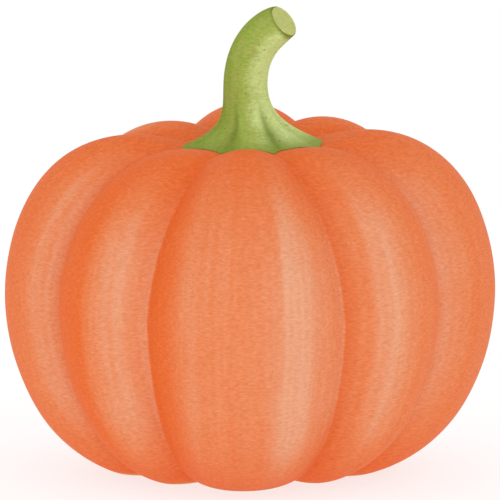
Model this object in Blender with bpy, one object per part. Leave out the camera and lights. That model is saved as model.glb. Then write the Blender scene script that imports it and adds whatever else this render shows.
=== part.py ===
"""A ribbed field pumpkin as picked: the fruit with its eight lobes, and the bent, cut stem it hung from.

Units are metres and +Z is up. The origin is on the ground, under the middle of the fruit, and the
broadest lobe faces -Y. Directions round the fruit are degrees from -Y, growing towards +X.
"""

import math

import bmesh
import bpy
from mathutils import Vector

# The fruit
HALF_WIDTH = 0.140  # from the axis to the crest of a full lobe
SHOULDER_RISE = 0.682 * HALF_WIDTH  # top of the outline above the widest level, before the stem hollow
BACK_RISE = 0.060 * HALF_WIDTH  # how much higher the back shoulder stands
RIGHT_RISE = 0.008 * HALF_WIDTH  # and the right one
LEFT_SAG = 0.012 * HALF_WIDTH  # how much lower the left of the base hangs
BASE_DROP = 0.812 * HALF_WIDTH  # bottom of the outline below the widest level, before the blossom hollow
FLAT_SPOT_DROP = 0.760 * HALF_WIDTH  # level of the ground below the widest level
SIDE_SHOULDER, FRONT_SHOULDER = 4.25, 2.75  # fullness of the outline above the widest level
SIDE_BASE, FRONT_BASE = 3.25, 2.45  # fullness below it
FLANK = 1.94  # upright fullness, which is the same above and below
STEM_HOLLOW = (0.12 * HALF_WIDTH, 0.30 * HALF_WIDTH)  # depth and spread
HOLLOW_STRETCH = 0.20  # how much wider the stem hollow is from side to side
BLOSSOM_HOLLOW = (0.11 * HALF_WIDTH, 0.24 * HALF_WIDTH)
GROOVE_DEPTH, END_GROOVE_DEPTH = 0.165, 0.210  # shares of the distance from the axis: flanks, top and base
GROOVE_ROUNDING = 0.03  # share of the depth that rounds the bottom of a groove
GROOVE_START = 0.36 * HALF_WIDTH  # distance from the axis over which the grooves deepen
GROOVES = (-28.7, 26.8, 65.0, 121.0, 154.0, 208.0, 246.0, 294.5)  # directions, one before each lobe
STEM_TURNS = (4.2, -9.5, 8.0, 3.0, 1.5, 4.0, 0.0, -8.0)  # degrees that each has turned at the stem
BASE_TURNS = (-18.5, 11.8, 2.0, -14.0, 0.0, 0.0, -12.0, -19.0)  # and at the blossom end
STEM_TURN_REACH, BASE_TURN_REACH = 0.075, 0.066  # distances from the axis over which they turn
BASE_START, BASE_END = 0.35, 0.65  # shares of the way down between which one turn hands over to the other
CRESTS = (1.0, 0.94, 1.008, 0.97, 1.0, 0.97, 1.006, 0.935)  # each lobe's reach as a share of HALF_WIDTH

# The stem
STEM_PATH = (  # control points of its Bezier centreline, as heights above the widest level
    Vector((0.0063, 0.0, 0.0780)),
    Vector((-0.0182, 0.0003, 0.1408)),
    Vector((0.0152, -0.0025, 0.1521)),
    Vector((0.0191, -0.0049, 0.1554)),
)
STEM_RADIUS, CUT_RADIUS = 0.0124, 0.0096
FOOT_REACH = 0.051  # distance that the foot flares out to at the start of the path
FOOT_TIPS = (  # directions in which it reaches further, and by how much
    (-28.7, 0.002),
    (26.8, 0.001),
    (60.0, -0.0045),
    (80.0, 0.004),
    (121.0, 0.003),
    (154.0, 0.005),
    (208.0, 0.004),
    (286.0, 0.006),
)
TIP_WIDTH = 10.0  # degrees
FOOT_FLARE, FOOT_FALL = 0.0130, 1.5  # height over which the foot draws in to the stem, and how squarely
FOOT_TOP = 0.36  # share of the path where the foot ends
FURROW_DEPTH = 0.0016  # creases that run down the foot into the grooves
FURROW_WIDTH = 11.0  # degrees
FURROW_FOOT, FURROW_FADE, FURROW_TOP = 0.008, 0.010, 0.040  # heights: deepest, starting to fade, gone
LIP = 0.0010  # thickness of the foot's edge
SEAT_GAP = 0.0009  # clearance between the foot and the skin, of which their facets take about half
RIM, RIM_START = 0.0008, 0.985  # bevel round the cut, and the share of the path where it starts
CUT_DISH = 0.0006  # how far the cut face sinks at its middle

# Mesh steps
LOBE_STEPS, SKIN_RINGS = 10, 36
STEM_LOBE_STEPS = 6
UNDERSIDE_RINGS, FOOT_RINGS, SHAFT_RINGS = 5, 8, 13
FOOT_CROWDING = 1.4  # above 1, the foot's rings crowd towards its edge
GROOVE_CROWDING = 0.5  # share by which the columns of vertices crowd towards the grooves
SHARP_EDGE = 40.0  # degrees between faces
HALVINGS = 30  # steps of each search

SKIN_COLOUR = (0.86, 0.22, 0.05, 1.0)
STEM_COLOUR = (0.36, 0.44, 0.09, 1.0)


def smoothstep(x):
    x = min(1.0, max(0.0, x))
    return x * x * (3 - 2 * x)


def outwards(direction):
    """The level unit vector in a direction round the fruit."""
    angle = math.radians(direction)
    return Vector((math.sin(angle), -math.cos(angle), 0.0))


def lobe_at(direction):
    """(index of the lobe, its half angle in degrees, degrees from its middle) in a direction."""
    for index, start in enumerate(GROOVES):
        end = GROOVES[(index + 1) % len(GROOVES)]
        width = (end - start) % 360
        turned = (direction - start) % 360
        if turned <= width:
            return index, width / 2, turned - width / 2
    raise ValueError(direction)


def turned(direction, distance, share=0.0):
    """Where a line that runs down a lobe lies, this far from the axis and this share of the way down."""
    index, half, off = lobe_at(direction)
    across = smoothstep((off / half + 1) / 2)
    base = smoothstep((share - BASE_START) / (BASE_END - BASE_START))
    for turns, reach, part in (
        (STEM_TURNS, STEM_TURN_REACH, 1 - base),
        (BASE_TURNS, BASE_TURN_REACH, base),
    ):
        turn = turns[index] * (1 - across) + turns[(index + 1) % len(GROOVES)] * across
        direction += part * turn * math.exp(-((distance / reach) ** 2))
    return direction


def groove_share(direction):
    """How far the skin drops here as a share of the groove's depth: 0 on a full crest, 1 in a groove.

    Across, a lobe is an arc of a circle through its crest and the grooves at its sides.
    """
    index, half, off = lobe_at(direction)
    half, off = math.radians(half), math.radians(off)
    floor = 1 - GROOVE_DEPTH
    across, along = floor * math.sin(half), floor * math.cos(half)
    bulge = CRESTS[index] - along
    arc_radius = (across**2 + bulge**2) / (2 * bulge)
    centre = CRESTS[index] - arc_radius
    reach = centre * math.cos(off) + math.sqrt(arc_radius**2 - (centre * math.sin(off)) ** 2)
    height = max(0.0, (reach - floor) / GROOVE_DEPTH)
    return 1 + GROOVE_ROUNDING - math.hypot(height, GROOVE_ROUNDING)


def outline(share, direction):
    """(distance from the axis, height) of the crest line, from the stem (0) to the blossom end (1)."""
    front = (1 + math.cos(math.radians(direction))) / 2
    rightward = math.sin(math.radians(direction))
    level = 1 - 2 * share
    angle = math.pi / 2 * (1 - (1 - abs(level)) ** 2)  # small steps near the axis, where it turns fast
    if level >= 0:
        fullness = SIDE_SHOULDER + (FRONT_SHOULDER - SIDE_SHOULDER) * front**3
        raised = BACK_RISE * (1 - front) ** 6 + RIGHT_RISE * rightward
        rise = SHOULDER_RISE + raised
        depth, spread = STEM_HOLLOW[0] + raised, STEM_HOLLOW[1] * (1 + HOLLOW_STRETCH * rightward**4)
    else:
        fullness = SIDE_BASE + (FRONT_BASE - SIDE_BASE) * front**10
        sagging = -LEFT_SAG * rightward
        rise = BASE_DROP + sagging
        depth, spread = BLOSSOM_HOLLOW[0] + sagging, BLOSSOM_HOLLOW[1]
    distance = HALF_WIDTH * max(0.0, math.cos(angle)) ** (2 / fullness)
    height = rise * math.sin(angle) ** (2 / FLANK) - depth * math.exp(-((distance / spread) ** 2))
    return distance, math.copysign(height, level) if level else 0.0


def skin(share, direction):
    """(distance from the axis, height above the ground) of the skin on a line down a lobe."""
    step = 1e-4
    before = outline(max(0.0, share - step), direction)
    after = outline(min(1.0, share + step), direction)
    along = Vector((after[0] - before[0], after[1] - before[1])).normalized()
    out = Vector((-along.y, along.x))
    distance, height = outline(share, direction)
    depth = GROOVE_DEPTH + (END_GROOVE_DEPTH - GROOVE_DEPTH) * abs(out.y)
    depth *= distance * (1 - math.exp(-((distance / GROOVE_START) ** 2))) * groove_share(direction)
    return distance - out.x * depth, max(height - out.y * depth + FLAT_SPOT_DROP, 0.0)


def above_skin(point):
    """Height of a point above the skin under it, near the stem."""
    distance = math.hypot(point.x, point.y)
    place = math.degrees(math.atan2(point.x, -point.y))
    direction = place
    for _ in range(3):
        direction += place - turned(direction, distance)
    share = first_true(lambda share: skin(share, direction)[0] >= distance, 0.3)
    return point.z - skin(share, direction)[1]


def first_true(test, end):
    """The lowest share, up to end, at which test comes true."""
    low, high = 0.0, end
    for _ in range(HALVINGS):
        middle = (low + high) / 2
        if test(middle):
            high = middle
        else:
            low = middle
    return high


def stem_centre(share):
    """The point on the stem's centreline, from the foot (0) to the cut (1)."""
    a, b, c, d = STEM_PATH
    rest = 1 - share
    point = a * rest**3 + b * 3 * rest**2 * share + c * 3 * rest * share**2 + d * share**3
    return point + Vector((0.0, 0.0, FLAT_SPOT_DROP))


def stem_heading(share):
    """Unit vector along the stem. It is upright at the foot, so that the foot lies level."""
    a, b, c, d = STEM_PATH
    rest = 1 - share
    along = (b - a) * rest**2 + (c - b) * 2 * rest * share + (d - c) * share**2
    upright = 1 - smoothstep(share / FOOT_TOP)
    return along.normalized().lerp(Vector((0.0, 0.0, 1.0)), upright).normalized()


def stem_radius(share, direction):
    """The stem's radius, with the foot's flare and the furrows that run down into the grooves."""
    shaft = STEM_RADIUS + (CUT_RADIUS - STEM_RADIUS) * share**4
    height = max(0.0, stem_centre(share).z - stem_centre(0.0).z)
    _, half, off = lobe_at(direction)
    from_groove = half - abs(off)
    tip = 0.0
    for place, further in FOOT_TIPS:
        from_tip = (direction - place + 180) % 360 - 180
        tip += further * math.exp(-((from_tip / TIP_WIDTH) ** 2))
    flare = (FOOT_REACH + tip - STEM_RADIUS) * math.exp(-((height / FOOT_FLARE) ** FOOT_FALL))
    fade = 1 - smoothstep((height - FURROW_FADE) / (FURROW_TOP - FURROW_FADE))
    furrow = FURROW_DEPTH * math.exp(-((from_groove / FURROW_WIDTH) ** 2))
    return shaft + flare - furrow * smoothstep(height / FURROW_FOOT) * fade


def stem_surface(share, direction, radius=None):
    """A point on the side of the stem, or at another radius on the same level of it."""
    heading = stem_heading(share)
    turn = Vector((0.0, 0.0, 1.0)).rotation_difference(heading)
    reach = stem_radius(share, direction) if radius is None else radius
    return stem_centre(share) + turn @ outwards(turned(direction, reach)) * reach


def foot_edge(direction):
    """Share of the stem's path where its flare comes down to the skin in this direction."""
    return first_true(
        lambda share: above_skin(stem_surface(share, direction)) >= SEAT_GAP + LIP, FOOT_TOP
    )


def shaped_ball(name, lobe_steps, rings, place, colour, roughness):
    """A closed solid from a sphere. place(ring, direction) gives a vertex, ring 0 at the bottom pole."""
    bm = bmesh.new()
    bmesh.ops.create_uvsphere(bm, u_segments=lobe_steps * len(GROOVES), v_segments=rings, radius=1.0)
    for vertex in bm.verts:
        ring = round(rings * math.acos(max(-1.0, min(1.0, -vertex.co.z))) / math.pi)
        turn = math.atan2(vertex.co.y, vertex.co.x) / math.tau % 1.0
        step = round(turn * lobe_steps * len(GROOVES)) % (lobe_steps * len(GROOVES))
        vertex.co = place(ring, step_direction(step, lobe_steps))
    mesh = bpy.data.meshes.new(name)
    bm.to_mesh(mesh)
    bm.free()
    mesh.shade_smooth()
    mesh.set_sharp_from_angle(angle=math.radians(SHARP_EDGE))
    made = bpy.data.objects.new(name, mesh)
    material = bpy.data.materials.new(name)
    material.use_nodes = True
    shader = material.node_tree.nodes["Principled BSDF"]
    shader.inputs["Base Color"].default_value = colour
    shader.inputs["Roughness"].default_value = roughness
    mesh.materials.append(material)
    return made


def step_direction(step, lobe_steps):
    """Direction of a column of vertices. The columns crowd towards the grooves."""
    index, inside = divmod(step, lobe_steps)
    start = GROOVES[index]
    width = (GROOVES[(index + 1) % len(GROOVES)] - start) % 360
    even = inside / lobe_steps
    eased = (1 - math.cos(math.pi * even)) / 2
    return start + width * (even + (eased - even) * GROOVE_CROWDING)


def fruit():
    def place(ring, direction):
        share = 1 - ring / SKIN_RINGS
        distance, height = skin(share, direction)
        return outwards(turned(direction, distance, share)) * distance + Vector((0.0, 0.0, height))

    return shaped_ball("fruit", LOBE_STEPS, SKIN_RINGS, place, SKIN_COLOUR, 0.5)


def stem():
    """Its rings run from the middle of the underside to the foot's edge, up the side and over the cut."""
    edges = {}
    side = UNDERSIDE_RINGS + FOOT_RINGS + SHAFT_RINGS

    def place(ring, direction):
        if direction not in edges:
            edges[direction] = foot_edge(direction)
        edge = edges[direction]
        if ring <= UNDERSIDE_RINGS:
            rim = stem_surface(edge, direction)
            point = rim * (ring / UNDERSIDE_RINGS)
            point.z = point.z - above_skin(point) + SEAT_GAP
            return point
        if ring <= UNDERSIDE_RINGS + FOOT_RINGS:
            up = (ring - UNDERSIDE_RINGS - 1) / (FOOT_RINGS - 1)
            return stem_surface(edge + (FOOT_TOP - edge) * up**FOOT_CROWDING, direction)
        if ring <= side:
            up = (ring - UNDERSIDE_RINGS - FOOT_RINGS) / SHAFT_RINGS
            return stem_surface(FOOT_TOP + (RIM_START - FOOT_TOP) * up, direction)
        inward = (CUT_RADIUS - RIM) * (side + 3 - ring) / 2
        sunk = stem_heading(1.0) * CUT_DISH * (1 - (inward / CUT_RADIUS) ** 2)
        return stem_surface(1.0, direction, inward) - sunk

    return shaped_ball("stem", STEM_LOBE_STEPS, side + 3, place, STEM_COLOUR, 0.7)


def main():
    for leftover in list(bpy.data.objects):
        bpy.data.objects.remove(leftover)
    pumpkin = bpy.data.collections.new("pumpkin")
    bpy.context.scene.collection.children.link(pumpkin)
    for piece in (fruit(), stem()):
        pumpkin.objects.link(piece)


main()
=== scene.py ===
"""The looks of a ribbed field pumpkin: its skin, its cut stem, and a plain white studio round it.

Lengths are metres, +Z is up, and the origin is on the ground under the middle of the fruit. Directions
round the fruit are degrees from -Y, growing towards +X.
"""

import math

import bmesh
import bpy
import numpy as np
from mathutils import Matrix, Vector, noise


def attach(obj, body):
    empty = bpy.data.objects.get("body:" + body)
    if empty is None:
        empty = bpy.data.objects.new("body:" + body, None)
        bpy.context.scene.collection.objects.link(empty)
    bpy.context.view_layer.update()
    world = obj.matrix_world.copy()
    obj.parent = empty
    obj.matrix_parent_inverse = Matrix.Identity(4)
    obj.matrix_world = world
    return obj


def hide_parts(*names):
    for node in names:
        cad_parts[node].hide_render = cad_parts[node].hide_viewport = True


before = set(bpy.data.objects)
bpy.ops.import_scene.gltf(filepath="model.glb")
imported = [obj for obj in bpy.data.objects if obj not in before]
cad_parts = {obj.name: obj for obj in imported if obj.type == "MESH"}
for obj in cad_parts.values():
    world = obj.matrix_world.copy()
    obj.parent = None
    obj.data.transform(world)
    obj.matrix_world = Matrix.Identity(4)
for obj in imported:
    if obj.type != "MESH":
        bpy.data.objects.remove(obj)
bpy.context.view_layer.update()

# The fruit
HALF_WIDTH = 0.140  # from the axis to the crest of a full lobe
SHOULDER_RISE = 0.682 * HALF_WIDTH  # top of the outline above the widest level, before the stem hollow
BACK_RISE = 0.060 * HALF_WIDTH  # how much higher the back shoulder stands
RIGHT_RISE = 0.008 * HALF_WIDTH  # and the right one
LEFT_SAG = 0.012 * HALF_WIDTH  # how much lower the left of the base hangs
BASE_DROP = 0.812 * HALF_WIDTH  # bottom of the outline below the widest level, before the blossom hollow
FLAT_SPOT_DROP = 0.760 * HALF_WIDTH  # level of the ground below the widest level
SIDE_SHOULDER, FRONT_SHOULDER = 4.25, 2.75  # fullness of the outline above the widest level
SIDE_BASE, FRONT_BASE = 3.25, 2.45  # fullness below it
FLANK = 1.94  # upright fullness, which is the same above and below
STEM_HOLLOW = (0.12 * HALF_WIDTH, 0.30 * HALF_WIDTH)  # depth and spread
HOLLOW_STRETCH = 0.20  # how much wider the stem hollow is from side to side
BLOSSOM_HOLLOW = (0.11 * HALF_WIDTH, 0.24 * HALF_WIDTH)
GROOVE_DEPTH, END_GROOVE_DEPTH = 0.165, 0.210  # shares of the distance from the axis: flanks, top and base
GROOVE_ROUNDING = 0.03  # share of the depth that rounds the bottom of a groove
GROOVE_START = 0.36 * HALF_WIDTH  # distance from the axis over which the grooves deepen
GROOVES = np.array((-28.7, 26.8, 65.0, 121.0, 154.0, 208.0, 246.0, 294.5))  # one before each lobe
STEM_TURNS = np.array((4.2, -9.5, 8.0, 3.0, 1.5, 4.0, 0.0, -8.0))  # degrees each has turned at the stem
BASE_TURNS = np.array((-18.5, 11.8, 2.0, -14.0, 0.0, 0.0, -12.0, -19.0))  # and at the blossom end
STEM_TURN_REACH, BASE_TURN_REACH = 0.075, 0.066  # distances from the axis over which they turn
BASE_START, BASE_END = 0.35, 0.65  # shares of the way down between which one turn hands over to the other
CRESTS = np.array((1.0, 0.94, 1.008, 0.97, 1.0, 0.97, 1.006, 0.935))  # each lobe's reach, as a share

# Painted light on each lobe's skin, 0 (painted shade) to 1 (painted highlight), against the place across
# it, -1 to 1:
# (left flank, right flank, place where it changes, place of its painted highlight band, width of the band,
# how much paler the band is, share of the way down where the painted light starts)
LOBE_PAINTED_LIGHT = (
    (0.00, 0.52, -0.66, 0.46, 0.20, 0.46, 0.20),
    (0.20, 0.36, -0.85, -0.36, 0.34, 0.42, 0.16),
    (0.26, 0.24, 0.00, -0.86, 0.40, 0.28, 0.11),
    (0.08, 0.42, -0.55, 0.20, 0.32, 0.40, 0.07),
    (0.04, 0.40, -0.60, -0.15, 0.30, 0.44, 0.08),
    (0.10, 0.36, -0.70, 0.10, 0.36, 0.40, 0.07),
    (0.16, 0.20, 0.20, 0.78, 0.24, 0.46, 0.11),
    (0.00, 0.50, 0.07, 0.54, 0.26, 0.26, 0.20),
)

# Colours: of the skin from painted shade to painted highlight, of the stem from its painted shade to its
# painted light, of the cut by patches
RIND_SHADE_TO_HIGHLIGHT = (
    (0.00, (0.805, 0.152, 0.032)),
    (0.45, (0.807, 0.223, 0.082)),
    (0.75, (0.809, 0.298, 0.150)),
    (1.00, (0.812, 0.372, 0.215)),
)
STEM_SHADE_TO_LIGHT = (
    (0.10, (0.258, 0.340, 0.045)),
    (0.36, (0.305, 0.400, 0.064)),
    (0.66, (0.375, 0.470, 0.098)),
    (0.95, (0.590, 0.705, 0.262)),
)
CUT_TONES = (
    (0.30, (0.440, 0.455, 0.130)),
    (0.52, (0.510, 0.545, 0.172)),
    (0.72, (0.585, 0.570, 0.225)),
)
CORK_TONES = ((0.35, (0.20, 0.12, 0.06)), (0.65, (0.46, 0.32, 0.17)))
WORN_TINT = (0.72, 0.40, 0.16)  # where the skin lay on the ground
TAN_PATCH = (0.46, 0.42, 0.13)
# colour of the painted shade in the furrows
FURROW_SHADE_GREEN = (0.170, 0.222, 0.029)
# colour of the painted shade on the foot near the skin and at its points
FOOT_SHADE_GREEN = (0.215, 0.280, 0.036)
# colour of the painted shadow under the cut's rim
RIM_SHADOW_GREEN = (0.190, 0.238, 0.030)
SPECK_GREEN = (0.115, 0.165, 0.012)
RIM_GREEN, PITH_GREEN = (0.62, 0.63, 0.26), (0.58, 0.56, 0.24)
GRAIN_WAVE = 0.005  # height of the waves that the wrinkles follow
GRAIN_SCALE = (330.0, 330.0, 1080.0)  # wrinkles per metre
GRAIN_CONTRAST = 4.2

# The stem
STEM_PATH = (  # control points of its Bezier centreline, as heights above the widest level
    (0.0063, 0.0, 0.0780),
    (-0.0182, 0.0003, 0.1408),
    (0.0152, -0.0025, 0.1521),
    (0.0191, -0.0049, 0.1554),
)
STEM_RADIUS, CUT_RADIUS = 0.0124, 0.0096
FOOT_REACH = 0.051  # distance that the foot flares out to at the start of the path
FOOT_TIPS = (  # directions in which it reaches further, and by how much
    (-28.7, 0.002),
    (26.8, 0.001),
    (60.0, -0.0045),
    (80.0, 0.004),
    (121.0, 0.003),
    (154.0, 0.005),
    (208.0, 0.004),
    (286.0, 0.006),
)
TIP_WIDTH = 10.0  # degrees
FOOT_FLARE, FOOT_FALL = 0.0130, 1.5  # height over which the foot draws in to the stem, and how squarely
FOOT_TOP = 0.36  # share of the stem's path where the foot ends
FURROW_DEPTH, FURROW_WIDTH = 0.0022, 8.0  # creases that run down the foot into the grooves (m, degrees)
FURROW_DRIFTS = np.array((-3.0, 13.0, 0.0, 0.0, 4.0, -3.0, 0.0, 0.0))  # degrees each has turned at its top
FURROW_DEPTHS = np.array((0.85, 1.0, 0.35, 0.6, 0.8, 0.8, 0.6, 0.35))  # as shares
FURROW_CLIMB = 0.030  # height over which a furrow drifts and narrows
FURROW_FOOT, FURROW_FADE, FURROW_TOP = 0.004, 0.012, 0.038  # heights: deepest, starting to fade, gone
LIP, SEAT_GAP = 0.0003, 0.00012  # thickness of the foot's edge, and its clearance over the skin
RIM, CUT_DISH = 0.0003, 0.0004  # bevel round the cut, and how far its middle sinks
FIBRE = 0.00022  # height of the fibres that run up the shaft
COLLAR, COLLAR_PLACE, COLLAR_WIDTH = 0.0002, 0.985, 0.02  # swelling under the cut: height, place, width
SKIRT_SHADE_HEIGHT = 0.004  # height over the skin in which painted shade darkens the foot
TIP_SHADE_START, TIP_SHADE_END = 0.024, 0.041  # distances from the axis between which painted shade darkens the foot's points

# The skin's small shapes
SWELL, RIBBING = 0.00045, 0.00018  # heights of its dents and of the faint ribs down the lobes
SCAR_RADIUS = 0.0085  # of the corky scar at the blossom end
WORN_START, WORN_END = 0.0004, 0.0020  # heights between which the tint of the flat spots ends

# The studio
CAMERA_RISE, CAMERA_REACH = 9.3, 26 * HALF_WIDTH  # degrees over the widest level, and distance
VIEW_WIDTH, AIM_RISE = 0.28593, 0.0233  # width seen at the axis, and the aim above the widest level
TABLE_RADIUS, TABLE_SHADE, TABLE_GLOW = 6.0, 0.32, 0.72
ROOM_LIGHT = 0.90

# Mesh steps
SKIN_STEPS, SKIN_RINGS = 40, 200
STEM_STEPS, UNDERSIDE_RINGS, FOOT_RINGS, SHAFT_RINGS, CUT_RINGS = 28, 6, 34, 100, 16
FOOT_CROWDING = 1.4  # above 1, the foot's rings crowd towards its edge
GROOVE_CROWDING = 0.5  # share by which the columns of vertices crowd towards the grooves
SHARP_EDGE = 35.0  # degrees between faces
HALVINGS = 26  # steps of each search


def smoothstep(x):
    x = np.clip(x, 0.0, 1.0)
    return x * x * (3 - 2 * x)


def lobe_at(direction):
    """(index of the lobe, its half angle in degrees, degrees from its middle) in each direction."""
    width = (np.roll(GROOVES, -1) - GROOVES) % 360
    turned = (direction[..., None] - GROOVES) % 360
    index = np.argmax(turned <= width, axis=-1)
    half = width[index] / 2
    return index, half, np.take_along_axis(turned, index[..., None], -1)[..., 0] - half


def turned(direction, distance, share=0.0):
    """Where a line that runs down a lobe lies, this far from the axis and this share of the way down."""
    index, half, off = lobe_at(direction)
    across = smoothstep((off / half + 1) / 2)
    base = smoothstep((share - BASE_START) / (BASE_END - BASE_START))
    for turns, reach, part in (
        (STEM_TURNS, STEM_TURN_REACH, 1 - base),
        (BASE_TURNS, BASE_TURN_REACH, base),
    ):
        turn = turns[index] * (1 - across) + turns[(index + 1) % len(GROOVES)] * across
        direction = direction + part * turn * np.exp(-((distance / reach) ** 2))
    return direction


def groove_share(direction):
    """How far the skin drops here as a share of the groove's depth: 0 on a full crest, 1 in a groove."""
    index, half, off = lobe_at(direction)
    half, off = np.radians(half), np.radians(off)
    floor = 1 - GROOVE_DEPTH
    across, along = floor * np.sin(half), floor * np.cos(half)
    bulge = CRESTS[index] - along
    arc_radius = (across**2 + bulge**2) / (2 * bulge)
    centre = CRESTS[index] - arc_radius
    reach = centre * np.cos(off) + np.sqrt(arc_radius**2 - (centre * np.sin(off)) ** 2)
    height = np.maximum(0.0, (reach - floor) / GROOVE_DEPTH)
    return 1 + GROOVE_ROUNDING - np.hypot(height, GROOVE_ROUNDING)


def outline(share, direction):
    """(distance from the axis, height) of the crest line, from the stem (0) to the blossom end (1)."""
    front = (1 + np.cos(np.radians(direction))) / 2
    rightward = np.sin(np.radians(direction))
    level = 1 - 2 * share
    above = level >= 0
    angle = math.pi / 2 * (1 - (1 - np.abs(level)) ** 2)
    raised = np.where(above, BACK_RISE * (1 - front) ** 6 + RIGHT_RISE * rightward, -LEFT_SAG * rightward)
    fullness = np.where(
        above,
        SIDE_SHOULDER + (FRONT_SHOULDER - SIDE_SHOULDER) * front**3,
        SIDE_BASE + (FRONT_BASE - SIDE_BASE) * front**10,
    )
    rise = np.where(above, SHOULDER_RISE, BASE_DROP) + raised
    depth = np.where(above, STEM_HOLLOW[0], BLOSSOM_HOLLOW[0]) + raised
    stretched = STEM_HOLLOW[1] * (1 + HOLLOW_STRETCH * rightward**4)
    spread = np.where(above, stretched, BLOSSOM_HOLLOW[1])
    distance = HALF_WIDTH * np.maximum(0.0, np.cos(angle)) ** (2 / fullness)
    height = rise * np.sin(angle) ** (2 / FLANK) - depth * np.exp(-((distance / spread) ** 2))
    return distance, np.where(above, height, -height)


def skin(share, direction):
    """(distance from the axis, height above the ground) of the skin on a line down a lobe."""
    step = 1e-4
    d0, h0 = outline(np.maximum(0.0, share - step), direction)
    d1, h1 = outline(np.minimum(1.0, share + step), direction)
    length = np.maximum(1e-12, np.hypot(d1 - d0, h1 - h0))
    out, up = (h0 - h1) / length, (d1 - d0) / length
    distance, height = outline(share, direction)
    depth = GROOVE_DEPTH + (END_GROOVE_DEPTH - GROOVE_DEPTH) * np.abs(up)
    depth = depth * distance * (1 - np.exp(-((distance / GROOVE_START) ** 2))) * groove_share(direction)
    return distance - out * depth, height - up * depth + FLAT_SPOT_DROP


def stem_centre(share):
    a, b, c, d = (np.array(point) for point in STEM_PATH)
    s = share[..., None]
    point = a * (1 - s) ** 3 + 3 * b * (1 - s) ** 2 * s + 3 * c * (1 - s) * s**2 + d * s**3
    return point + np.array((0.0, 0.0, FLAT_SPOT_DROP))


def stem_heading(share):
    """Unit vector along the stem. It is upright at the foot, so that the foot lies level."""
    a, b, c, d = (np.array(point) for point in STEM_PATH)
    s = share[..., None]
    along = (b - a) * (1 - s) ** 2 + 2 * (c - b) * (1 - s) * s + (d - c) * s**2
    along /= np.linalg.norm(along, axis=-1, keepdims=True)
    upright = 1 - smoothstep(s / FOOT_TOP)
    heading = along * (1 - upright) + np.array((0.0, 0.0, 1.0)) * upright
    return heading / np.linalg.norm(heading, axis=-1, keepdims=True)


def furrow(share, direction):
    """Strength, 0 to 1, of the crease that runs down the stem's foot into each groove."""
    height = stem_centre(share)[..., 2] - stem_centre(np.zeros(1))[0, 2]
    climb = smoothstep(height / FURROW_CLIMB)
    strength = 0.0
    width = FURROW_WIDTH * (1.5 - climb)
    for groove, drift, depth in zip(GROOVES, FURROW_DRIFTS, FURROW_DEPTHS):
        off = (direction - groove - drift * climb + 180) % 360 - 180
        strength = strength + depth * np.exp(-(np.abs(off / width) ** 1.6))
    fade = 1 - smoothstep((height - FURROW_FADE) / (FURROW_TOP - FURROW_FADE))
    return strength * smoothstep(height / FURROW_FOOT) * fade


def stem_radius(share, direction):
    """The stem's radius, with the foot's flare and the furrows that run down into the grooves."""
    shaft = STEM_RADIUS + (CUT_RADIUS - STEM_RADIUS) * share**4
    height = np.maximum(0.0, stem_centre(share)[..., 2] - stem_centre(np.zeros(1))[0, 2])
    tip = 0.0
    for place, reach in FOOT_TIPS:
        off = (direction - place + 180) % 360 - 180
        tip = tip + reach * np.exp(-((off / TIP_WIDTH) ** 2))
    flare = (FOOT_REACH + tip - STEM_RADIUS) * np.exp(-((height / FOOT_FLARE) ** FOOT_FALL))
    return shaft + flare - FURROW_DEPTH * furrow(share, direction)


def stem_surface(share, direction, radius):
    """Points at a radius round the stem's centreline."""
    heading = stem_heading(share)
    angle = np.radians(turned(direction, radius))
    level = np.stack((np.sin(angle), -np.cos(angle), np.zeros_like(angle)), -1)
    axis = np.stack((-heading[..., 1], heading[..., 0], np.zeros_like(angle)), -1)
    turn = heading[..., 2, None]
    across = np.cross(axis, level)
    lifted = level * turn + across + axis * np.sum(axis * level, -1, keepdims=True) / (1 + turn)
    return stem_centre(share) + lifted * radius[..., None]


def skin_below(points):
    """Height of the skin under each point near the stem."""
    place = np.degrees(np.arctan2(points[..., 0], -points[..., 1]))
    distance = np.hypot(points[..., 0], points[..., 1])
    direction = place
    for _ in range(3):
        direction = direction + place - turned(direction, distance)
    low, high = np.zeros_like(distance), np.full_like(distance, 0.30)
    for _ in range(HALVINGS):
        middle = (low + high) / 2
        inside = skin(middle, direction)[0] < distance
        low, high = np.where(inside, middle, low), np.where(inside, high, middle)
    return skin(low, direction)[1]


def foot_edge(direction):
    """Share of the stem's path where its flare comes down to the skin in each direction."""
    low, high = np.zeros_like(direction), np.full_like(direction, FOOT_TOP)
    for _ in range(HALVINGS):
        middle = (low + high) / 2
        rim = stem_surface(middle, direction, stem_radius(middle, direction))
        sunk = rim[..., 2] - skin_below(rim) < SEAT_GAP + LIP
        low, high = np.where(sunk, middle, low), np.where(sunk, high, middle)
    return high


def step_directions(steps):
    """Directions of the columns of vertices round the fruit, crowded towards the grooves."""
    even = np.arange(steps) / steps
    eased = (1 - np.cos(math.pi * even)) / 2
    width = (np.roll(GROOVES, -1) - GROOVES) % 360
    return (GROOVES[:, None] + width[:, None] * (even + (eased - even) * GROOVE_CROWDING)).ravel()


def ball(name, columns, rings):
    """A sphere to shape, with the ring (0 at the bottom pole) and the column of each vertex."""
    bm = bmesh.new()
    bmesh.ops.create_uvsphere(bm, u_segments=columns, v_segments=rings, radius=1.0)
    mesh = bpy.data.meshes.new(name)
    bm.to_mesh(mesh)
    bm.free()
    co = np.empty(len(mesh.vertices) * 3)
    mesh.vertices.foreach_get("co", co)
    co = co.reshape(-1, 3)
    ring = np.rint(rings * np.arccos(np.clip(-co[:, 2], -1, 1)) / math.pi).astype(int)
    turn = np.arctan2(co[:, 1], co[:, 0]) / math.tau % 1.0
    return mesh, ring, np.rint(turn * columns).astype(int) % columns


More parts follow.
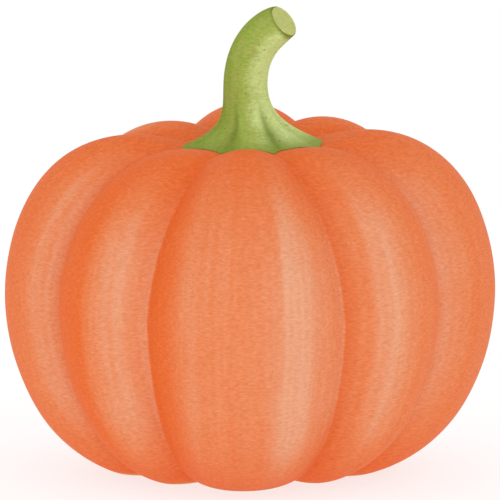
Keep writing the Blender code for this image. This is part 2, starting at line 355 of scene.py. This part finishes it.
def finish_piece(mesh, co, values, materials):
    """Moves the vertices, stores the named values on them and makes the object."""
    mesh.vertices.foreach_set("co", co.astype(np.float32).ravel())
    for name, value in values.items():
        kind, part = ("FLOAT_VECTOR", "vector") if value.ndim == 2 else ("FLOAT", "value")
        layer = mesh.attributes.new(name, kind, "POINT")
        layer.data.foreach_set(part, value.astype(np.float32).ravel())
    mesh.update()
    mesh.shade_smooth()
    for material in materials:
        mesh.materials.append(material)
    piece = bpy.data.objects.new(mesh.name, mesh)
    bpy.context.scene.collection.objects.link(piece)
    return piece


def wander(points, size, seed):
    """Smooth noise, about -1 to 1, at each point."""
    shift = Vector((seed * 7.3, seed * 3.1, seed * 5.7))
    return np.array([noise.noise(Vector(point) / size + shift) for point in points])


def painted_light_share(share, direction):
    """Painted light on the skin, 0 (painted shade) to 1 (painted highlight). It fades towards the stem and
    towards the ground.
    """
    index, half, off = lobe_at(direction)
    across = off / half
    left, right, change, place, width, more, start = (
        np.array(column)[index] for column in zip(*LOBE_PAINTED_LIGHT)
    )
    tone = left + (right - left) * smoothstep((across - change) / 0.28 + 0.5)
    tone = tone + more * np.exp(-(((across - place) / width) ** 2))
    # painted light raised near the grooves, to offset their shade
    tone = tone * (1 + 0.35 * smoothstep((np.abs(across) - 0.72) / 0.28))
    return tone * smoothstep((share - start) / 0.26) * smoothstep((0.80 - share) / 0.22)


def around_axis(direction, along):
    """Coordinates for marks that run along a round thing: no seam, and 1 along its whole length."""
    angle = np.radians(direction)
    return np.stack((np.sin(angle), -np.cos(angle), along), -1)


def fruit_piece():
    mesh, ring, column = ball("pumpkin_fruit", SKIN_STEPS * len(GROOVES), SKIN_RINGS)
    share = 1 - ring / SKIN_RINGS
    direction = step_directions(SKIN_STEPS)[column]
    distance, height = skin(share, direction)
    angle = np.radians(turned(direction, distance, share))
    out = np.stack((np.sin(angle), -np.cos(angle), np.zeros_like(angle)), -1)
    co = out * distance[:, None]
    co[:, 2] = height
    around = around_axis(direction, share)
    swell = SWELL * wander(co, 0.034, 1) + RIBBING * wander(around * (9, 9, 2.2), 1.0, 2)
    co += out * (swell * smoothstep(distance / 0.05))[:, None]
    scar = np.exp(-((distance / SCAR_RADIUS) ** 4)) * (share > 0.5)
    co[:, 2] += scar * (0.0006 + 0.0005 * wander(co, 0.0016, 3))
    co[:, 2] = np.maximum(co[:, 2], 0.0)
    worn = co[:, 2] - WORN_START + 0.0006 * wander(co, 0.02, 4)
    values = {
        "painted_lobe_light": painted_light_share(share, direction),
        "around": around,
        "scar": scar,
        "ground": 1 - smoothstep(worn / (WORN_END - WORN_START)),
    }
    return finish_piece(mesh, co, values, [rind()])


def stem_piece():
    side = UNDERSIDE_RINGS + FOOT_RINGS + SHAFT_RINGS
    mesh, ring, column = ball("pumpkin_stem", STEM_STEPS * len(GROOVES), side + CUT_RINGS)
    columns = step_directions(STEM_STEPS)
    direction = columns[column]
    edge = foot_edge(columns)[column]
    rise = np.clip((ring - UNDERSIDE_RINGS - 1) / (FOOT_RINGS - 1), 0, 1)
    climb = np.clip((ring - UNDERSIDE_RINGS - FOOT_RINGS) / SHAFT_RINGS, 0, 1)
    on_foot = edge + (FOOT_TOP - edge) * rise**FOOT_CROWDING
    share = np.where(climb > 0, FOOT_TOP + (1 - FOOT_TOP) * climb, on_foot)
    on_shaft = smoothstep((share - 0.10) / 0.25)
    around = around_axis(direction, share)
    fibre = wander(around * (7, 7, 2.0), 1.0, 5) + 0.6 * wander(around * (17, 17, 3.0), 1.0, 6)
    radius = stem_radius(share, direction) + FIBRE * fibre * on_shaft
    radius += COLLAR * np.exp(-(((share - COLLAR_PLACE) / COLLAR_WIDTH) ** 2))
    inward = np.clip((ring - side) / CUT_RINGS, 0, 1)
    cut = ring > side
    inner = np.where(cut, (radius - RIM) * (1 - (ring - side - 1) / (CUT_RINGS - 1)), radius)
    co = stem_surface(share, direction, inner)
    heading = stem_heading(np.ones(1))[0]
    rough = wander(around * (9, 9, 0) * inner[:, None] / 0.004, 1.0, 7)
    hollow = CUT_DISH * smoothstep(inward * 1.6) + FIBRE * rough
    co[cut] += heading * (RIM - hollow[cut])[:, None]
    under = ring <= UNDERSIDE_RINGS
    level = co[under] * (ring[under] / UNDERSIDE_RINGS)[:, None]
    level[:, 2] = skin_below(level) + SEAT_GAP
    co[under] = level
    # painted shade on the foot: full on its underside, fading with height over the skin
    foot_shade = under.astype(float)
    foot = ~cut & ~under & (share < FOOT_TOP)
    foot_shade[foot] = np.exp(-np.maximum(0, co[foot, 2] - skin_below(co[foot])) / SKIRT_SHADE_HEIGHT)
    values = {
        "around": around,
        "furrow": furrow(share, direction),
        "foot_shade": foot_shade,
        "reach": np.where(cut, 1 - inward, 1.0),
        # painted shade at the foot's points
        "tip": smoothstep((np.hypot(co[:, 0], co[:, 1]) - TIP_SHADE_START) / (TIP_SHADE_END - TIP_SHADE_START)),
    }
    piece = finish_piece(mesh, co, values, [stem_skin(), cut_face()])
    for polygon in mesh.polygons:
        polygon.material_index = int(all(cut[vertex] for vertex in polygon.vertices))
    mesh.set_sharp_from_angle(angle=math.radians(SHARP_EDGE))
    return piece


def add(tree, kind, inputs=None, **settings):
    """Adds a node. inputs gives its inputs a value each, or the output that feeds them."""
    made = tree.nodes.new("ShaderNode" + kind)
    for name, value in settings.items():
        setattr(made, name, value)
    for name, value in (inputs or {}).items():
        if isinstance(value, bpy.types.NodeSocket):
            tree.links.new(value, made.inputs[name])
        else:
            made.inputs[name].default_value = value
    return made


def maths(tree, operation, *values, clamp=False):
    return add(tree, "Math", dict(enumerate(values)), operation=operation, use_clamp=clamp).outputs[0]


def total(tree, *terms, offset=0.0):
    """The sum of an offset and of values, each times its weight."""
    amount = offset
    for value, weight in terms:
        amount = maths(tree, "MULTIPLY_ADD", value, weight, amount)
    return amount


def blend(tree, share, under, over):
    """A colour, mixed over another by a share."""
    return add(tree, "Mix", {0: share, 6: under, 7: (*over, 1.0)}, data_type="RGBA").outputs[2]


def ramp(tree, value, stops):
    """A colour by value, from pairs of place and colour."""
    made = add(tree, "ValToRGB", {"Fac": value})
    elements = made.color_ramp.elements
    while len(elements) < len(stops):
        elements.new(0.5)
    for element, (place, colour) in zip(elements, stops):
        element.position, element.color = place, (*colour, 1.0)
    return made.outputs["Color"]


def rises(tree, value, low, high):
    """0 below low and 1 above high, with a smooth step between."""
    made = add(tree, "MapRange", {"Value": value, "From Min": low, "From Max": high})
    made.interpolation_type = "SMOOTHSTEP"
    return made.outputs["Result"]


def scaled(tree, vector, scale):
    return add(tree, "VectorMath", {0: vector, 1: scale}, operation="MULTIPLY").outputs["Vector"]


def clouds(tree, vector, scale, detail=2.0, roughness=0.5):
    """Noise between about 0 and 1."""
    inputs = {"Vector": vector, "Scale": scale, "Detail": detail, "Roughness": roughness}
    return add(tree, "TexNoise", inputs).outputs["Fac"]


def attribute(tree, name, output="Fac"):
    return add(tree, "Attribute", attribute_name=name).outputs[output]


def group(name, inputs, outputs):
    """A new shader node group with the named sockets, and its two end nodes."""
    tree = bpy.data.node_groups.new(name, "ShaderNodeTree")
    for socket, kind in inputs:
        tree.interface.new_socket(socket, in_out="INPUT", socket_type="NodeSocket" + kind)
    for socket in outputs:
        tree.interface.new_socket(socket, in_out="OUTPUT", socket_type="NodeSocketFloat")
    return tree, tree.nodes.new("NodeGroupInput"), tree.nodes.new("NodeGroupOutput")


def use(tree, made, inputs):
    """The node that puts a group into a material."""
    node = tree.nodes.new("ShaderNodeGroup")
    node.node_tree = made
    for name, value in inputs.items():
        if isinstance(value, bpy.types.NodeSocket):
            tree.links.new(value, node.inputs[name])
        else:
            node.inputs[name].default_value = value
    return node


def wrinkled(tree, colour, grain, strength):
    """A colour made lighter and darker by the fine wrinkles."""
    return scaled(tree, colour, total(tree, (grain, strength), offset=1.0))


def roughened(tree, shader, relief, depth, strength):
    """Joins a relief, this deep, to the shader."""
    bump = add(tree, "Bump", {"Height": relief, "Distance": depth, "Strength": strength})
    tree.links.new(bump.outputs["Normal"], shader.inputs["Normal"])


def grain_group():
    """Fine wavy level wrinkles, -1 to 1, a few millimetres long and about 1 mm apart."""
    tree, start, end = group("level_grain", [("Position", "Vector")], ["Grain"])
    position = start.outputs["Position"]
    lift = total(tree, (clouds(tree, position, 85.0, 1.0), GRAIN_WAVE), offset=-GRAIN_WAVE / 2)
    raised = add(tree, "CombineXYZ", {"Z": lift}).outputs[0]
    place = add(tree, "VectorMath", {0: position, 1: raised}, operation="ADD").outputs["Vector"]
    fine = clouds(tree, scaled(tree, place, GRAIN_SCALE), 1.0, 3.0, 0.62)
    value = total(tree, (fine, GRAIN_CONTRAST), offset=-GRAIN_CONTRAST / 2)
    value = maths(tree, "MINIMUM", maths(tree, "MAXIMUM", value, -1.0), 1.0)
    tree.links.new(value, end.inputs["Grain"])
    return tree


def speck_group():
    """Scattered round specks, 0 to 1. Crowding is the share of the cells that hold one."""
    numbers = [(name, "Float") for name in ("Cells per metre", "Crowding", "Size")]
    tree, start, end = group("specks", [("Position", "Vector"), *numbers], ["Speck"])
    place = {"Vector": start.outputs["Position"], "Scale": start.outputs["Cells per metre"]}
    cells = add(tree, "TexVoronoi", place)
    chance = add(tree, "SeparateColor", {"Color": cells.outputs["Color"]})
    held = maths(tree, "LESS_THAN", chance.outputs["Red"], start.outputs["Crowding"])
    size = total(tree, (chance.outputs["Green"], 0.7), offset=0.3)
    size = maths(tree, "MULTIPLY", start.outputs["Size"], size)
    near = maths(tree, "DIVIDE", cells.outputs["Distance"], size)
    spot = maths(tree, "SUBTRACT", 1.0, rises(tree, near, 0.55, 1.0))
    tree.links.new(maths(tree, "MULTIPLY", held, spot), end.inputs["Speck"])
    return tree


def material_for(name, roughness, specular):
    material = bpy.data.materials.new(name)
    material.use_nodes = True
    shader = material.node_tree.nodes["Principled BSDF"]
    shader.inputs["Roughness"].default_value = roughness
    shader.inputs["Specular IOR Level"].default_value = specular
    return material, material.node_tree, shader


def rind():
    """Orange skin: painted highlight bands and painted shade run down the lobes with streaks, and fine
    wrinkles lie across them.
    """
    material, tree, shader = material_for("rind", 0.58, 0.06)
    position = add(tree, "TexCoord").outputs["Object"]
    around = attribute(tree, "around", "Vector")
    # painted light and shade of the lobes: painted highlight bands, and painted shade on their flanks
    painted_lobe_light = attribute(tree, "painted_lobe_light")
    grain = use(tree, GRAIN, {"Position": position}).outputs["Grain"]
    broad = clouds(tree, scaled(tree, around, (11.0, 11.0, 2.6)), 1.0, 3.0, 0.6)
    fine = clouds(tree, scaled(tree, around, (34.0, 34.0, 4.0)), 1.0, 2.0, 0.55)
    streaks = total(tree, (broad, 0.55), (fine, 0.45), offset=-0.5)
    strength = total(tree, (painted_lobe_light, 1.1), offset=0.12)
    blotches = total(tree, (clouds(tree, position, 26.0, 3.0, 0.6), 1.0), offset=-0.5)
    pores = {"Position": position, "Cells per metre": 260.0, "Crowding": 0.10, "Size": 0.28}
    pores = use(tree, SPECKS, pores).outputs["Speck"]
    tone = total(tree, (painted_lobe_light, 1.0), (streaks, strength), (blotches, 0.26), (grain, 0.11), (pores, 0.16))
    colour = ramp(tree, maths(tree, "MULTIPLY", tone, 1.0, clamp=True), RIND_SHADE_TO_HIGHLIGHT)
    worn = maths(tree, "MULTIPLY", attribute(tree, "ground"), 0.75)
    colour = blend(tree, worn, colour, WORN_TINT)
    cork = ramp(tree, clouds(tree, position, 900.0, 3.0), CORK_TONES)
    colour = add(tree, "Mix", {0: attribute(tree, "scar"), 6: colour, 7: cork}, data_type="RGBA").outputs[2]
    tree.links.new(wrinkled(tree, colour, grain, 0.095), shader.inputs["Base Color"])
    roughened(tree, shader, total(tree, (grain, 0.5), (fine, 1.6)), 0.00012, 0.6)
    return material


def stem_skin():
    """Green stem skin: lighter and yellower on its right with painted light, and painted shade in the
    furrows, on the foot and under the cut.
    """
    material, tree, shader = material_for("stem_skin", 0.72, 0.06)
    position = add(tree, "TexCoord").outputs["Object"]
    around = attribute(tree, "around", "Vector")
    parts = add(tree, "SeparateXYZ", {"Vector": around})
    rightward, backward, along = (parts.outputs[axis] for axis in "XYZ")
    grain = use(tree, GRAIN, {"Position": position}).outputs["Grain"]
    fibres = clouds(tree, scaled(tree, around, (20.0, 20.0, 2.6)), 1.0, 3.0, 0.6)
    patches = clouds(tree, position, 60.0, 3.0, 0.6)
    # painted light: lighter towards +X and darker towards the back, with real patches, fibres and wrinkles
    # mixed in
    painted_light_and_tone = total(tree, (rightward, 1.0), (backward, -0.35))
    painted_light_and_tone = total(tree, (painted_light_and_tone, 1.0), (patches, 1.1), (fibres, 0.35), (grain, 0.10), offset=-0.725)
    colour = ramp(tree, total(tree, (painted_light_and_tone, 0.5), offset=0.5), STEM_SHADE_TO_LIGHT)
    tan = rises(tree, clouds(tree, scaled(tree, around, (3.0, 3.0, 5.0)), 1.3, 3.0, 0.6), 0.46, 0.68)
    tan = maths(tree, "MULTIPLY", tan, rises(tree, painted_light_and_tone, 0.95, 0.35))
    colour = blend(tree, maths(tree, "MULTIPLY", tan, 0.42), colour, TAN_PATCH)
    # painted shade in the furrows
    painted_furrow_shade = maths(tree, "MULTIPLY", attribute(tree, "furrow"), 0.9, clamp=True)
    colour = blend(tree, painted_furrow_shade, colour, FURROW_SHADE_GREEN)
    # painted shade on the foot near the skin and at its points
    foot_shade = maths(tree, "MULTIPLY", attribute(tree, "foot_shade"), 0.62)
    foot_shade = maths(tree, "MAXIMUM", foot_shade, maths(tree, "MULTIPLY", attribute(tree, "tip"), 0.85))
    colour = blend(tree, foot_shade, colour, FOOT_SHADE_GREEN)
    # painted shadow in a band under the cut's rim
    end = maths(tree, "MULTIPLY", rises(tree, along, 0.84, 0.985), 0.95)
    colour = blend(tree, end, colour, RIM_SHADOW_GREEN)
    specks = {"Position": position, "Cells per metre": 250.0, "Crowding": 0.55, "Size": 0.20}
    specks = use(tree, SPECKS, specks).outputs["Speck"]
    colour = blend(tree, maths(tree, "MULTIPLY", specks, 0.7), colour, SPECK_GREEN)
    tree.links.new(wrinkled(tree, colour, grain, 0.15), shader.inputs["Base Color"])
    roughened(tree, shader, total(tree, (grain, 0.5), (fibres, 2.0)), 0.0002, 0.7)
    return material


def cut_face():
    """The cut end: yellow green, with faint rays, a paler rim and a paler pith."""
    material, tree, shader = material_for("cut_face", 0.75, 0.12)
    position = add(tree, "TexCoord").outputs["Object"]
    around = attribute(tree, "around", "Vector")
    reach = attribute(tree, "reach")
    grain = use(tree, GRAIN, {"Position": position}).outputs["Grain"]
    rays = clouds(tree, scaled(tree, around, (9.0, 9.0, 0.0)), 1.0, 3.0, 0.6)
    patches = clouds(tree, position, 240.0, 3.0, 0.6)
    colour = ramp(tree, total(tree, (rays, 0.4), (patches, 0.6), (grain, 0.05)), CUT_TONES)
    rim = rises(tree, reach, 0.86, 0.99)
    colour = blend(tree, maths(tree, "MULTIPLY", rim, 0.6), colour, RIM_GREEN)
    pith = maths(tree, "SUBTRACT", 1.0, rises(tree, reach, 0.10, 0.34))
    colour = blend(tree, maths(tree, "MULTIPLY", pith, 0.25), colour, PITH_GREEN)
    tree.links.new(wrinkled(tree, colour, grain, 0.06), shader.inputs["Base Color"])
    roughened(tree, shader, maths(tree, "ADD", rays, patches), 0.0003, 0.6)
    return material


def floor():
    """A white table, lit a little from within."""
    mesh = bpy.data.meshes.new("floor")
    bm = bmesh.new()
    bmesh.ops.create_circle(bm, cap_ends=True, segments=96, radius=TABLE_RADIUS)
    bm.to_mesh(mesh)
    bm.free()
    material, _, shader = material_for("white_table", 0.9, 0.0)
    shader.inputs["Base Color"].default_value = (TABLE_SHADE, TABLE_SHADE, TABLE_SHADE, 1.0)
    shader.inputs["Emission Color"].default_value = (1.0, 1.0, 1.0, 1.0)
    shader.inputs["Emission Strength"].default_value = TABLE_GLOW
    mesh.materials.append(material)
    stage = bpy.data.objects.new("floor", mesh)
    bpy.context.scene.collection.objects.link(stage)


def softbox(name, turn, lift, reach, size, power):
    """A soft lamp aimed at the fruit from a direction round it and a height, both in degrees."""
    turn, lift = math.radians(turn), math.radians(lift)
    towards = Vector((math.sin(turn) * math.cos(lift), -math.cos(turn) * math.cos(lift), math.sin(lift)))
    lamp = bpy.data.lights.new(name, "AREA")
    lamp.shape, lamp.energy = "RECTANGLE", power
    lamp.size, lamp.size_y = size
    place = bpy.data.objects.new(name, lamp)
    place.location = Vector((0, 0, 0.10)) + towards * reach
    place.rotation_euler = (-towards).to_track_quat("-Z", "Y").to_euler()
    bpy.context.scene.collection.objects.link(place)


def studio():
    """A white room, a soft lamp from the front right, and low ones from the left and the front."""
    world = bpy.data.worlds.new("white_room")
    world.use_nodes = True
    sky = world.node_tree.nodes["Background"]
    sky.inputs["Color"].default_value = (1.0, 1.0, 1.0, 1.0)
    sky.inputs["Strength"].default_value = ROOM_LIGHT
    bpy.context.scene.world = world
    bpy.context.scene.view_settings.view_transform = "Standard"
    softbox("key", 28, 34, 2.4, (0.9, 1.4), 3.3)
    softbox("fill", -55, 10, 2.6, (1.4, 0.8), 3.3)
    softbox("low", 5, 3, 2.8, (1.6, 0.4), 2.8)


def camera():
    """A long lens from the front, a little above the fruit."""
    rise = math.radians(CAMERA_RISE)
    widest = Vector((0, 0, FLAT_SPOT_DROP))
    aim = widest + Vector((0, 0, AIM_RISE))
    lens = bpy.data.cameras.new("camera")
    lens.sensor_width = 36.0
    lens.lens = lens.sensor_width * CAMERA_REACH / VIEW_WIDTH
    lens.clip_end = 60.0
    place = bpy.data.objects.new("camera", lens)
    place.location = widest + Vector((0, -math.cos(rise), math.sin(rise))) * CAMERA_REACH
    place.rotation_euler = (aim - place.location).to_track_quat("-Z", "Y").to_euler()
    bpy.context.scene.collection.objects.link(place)
    bpy.context.scene.camera = place


GRAIN = grain_group()
SPECKS = speck_group()
camera()
studio()
floor()
fruit = fruit_piece()
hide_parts("fruit")
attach(fruit, "root")
stem = stem_piece()
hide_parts("stem")
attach(stem, "root")
